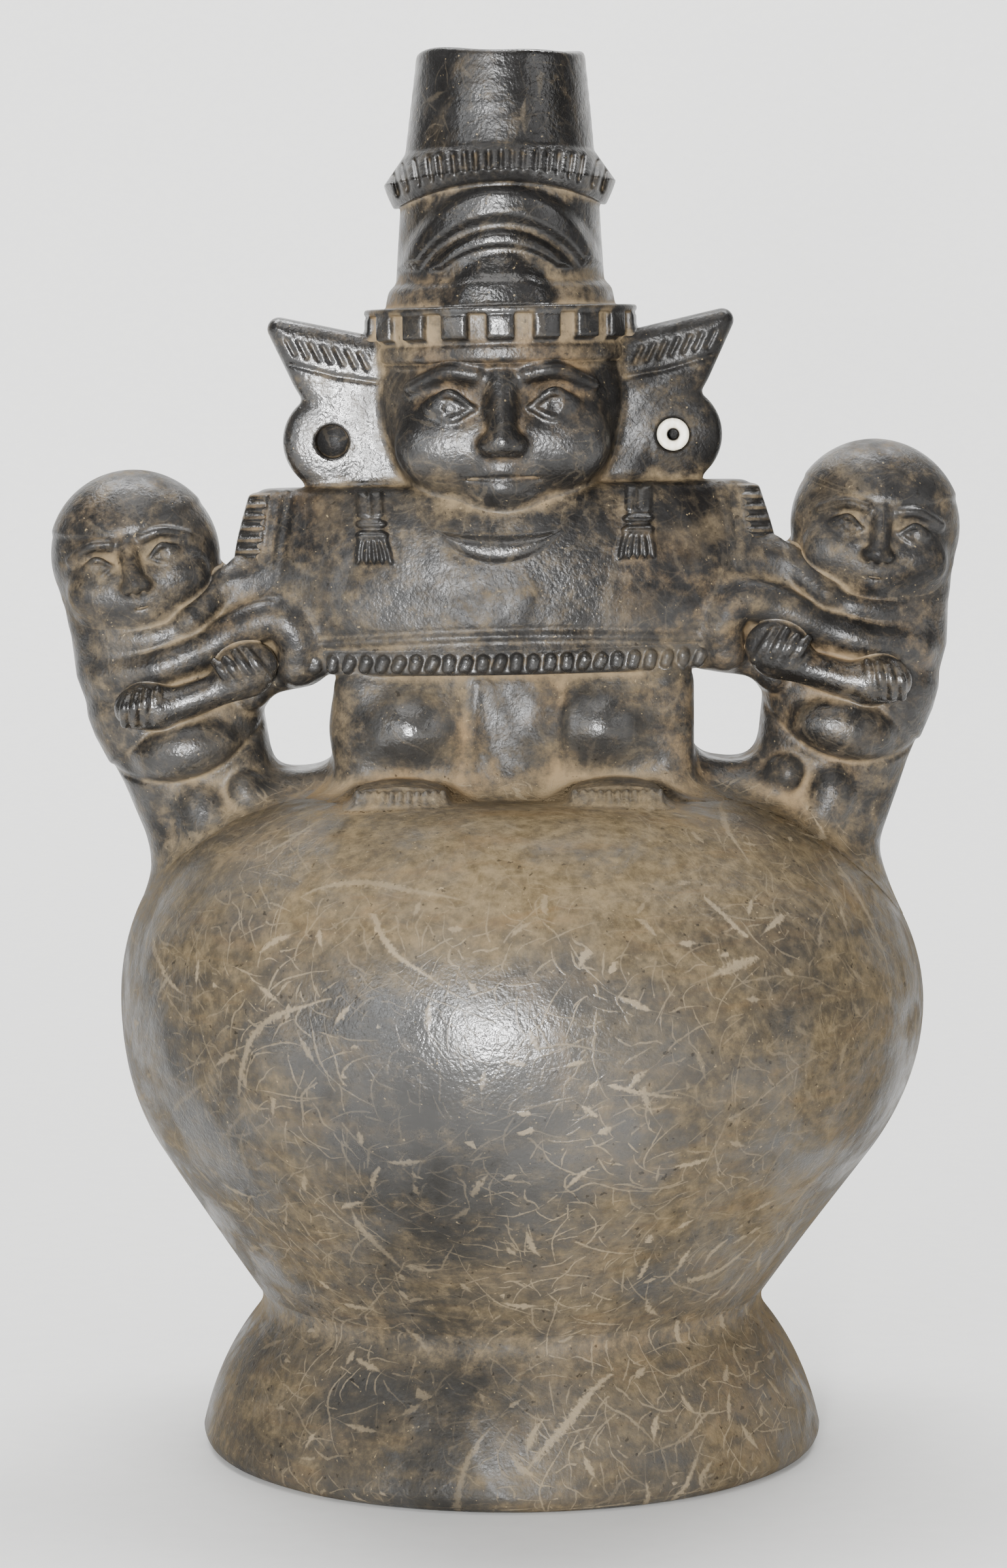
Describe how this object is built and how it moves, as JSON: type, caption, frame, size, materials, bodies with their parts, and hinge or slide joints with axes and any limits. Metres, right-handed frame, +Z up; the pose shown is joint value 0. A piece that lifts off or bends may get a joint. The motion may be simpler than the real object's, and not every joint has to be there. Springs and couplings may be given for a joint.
{
  "type": "figure bottle",
  "caption": "Blackware figure bottle: globular body on a ring foot, a seated lord between attendants on its shoulder, and a spout rising from the lord's crown.",
  "frame": {"origin": "centre of the ring foot, on the surface it stands on", "axes": "+Z up along the body's axis to the spout, the figures face -Y, +X to the viewer's right"},
  "size_m": [0.156, 0.1384, 0.24],
  "materials": {
    "blackware": "burnished",
    "shell": "polished"
  },
  "bodies": {
    "root": {"ring_foot": "blackware", "lower_bowl": "blackware", "upper_dome": "blackware", "torso_front": "blackware", "torso_back": "blackware", "left_foot": "blackware", "right_foot": "blackware", "hem_fringe": "blackware", "left_fringe": "blackware", "right_fringe": "blackware", "gorget": "blackware", "left_tassel": "blackware", "right_tassel": "blackware", "head_front": "blackware", "head_back": "blackware", "headband": "blackware", "crown": "blackware", "feather_crest": "blackware", "spout": "blackware", "left_ear": "blackware", "right_ear": "blackware", "ear_inlay": "shell", "left_attendant_body": "blackware", "left_attendant_head": "blackware", "left_attendant_collar": "blackware", "left_attendant_mantle": "blackware", "left_attendant_forearms": "blackware", "right_attendant_body": "blackware", "right_attendant_head": "blackware", "right_attendant_collar": "blackware", "right_attendant_mantle": "blackware", "right_attendant_forearms": "blackware"}
  },
  "joints": []
}
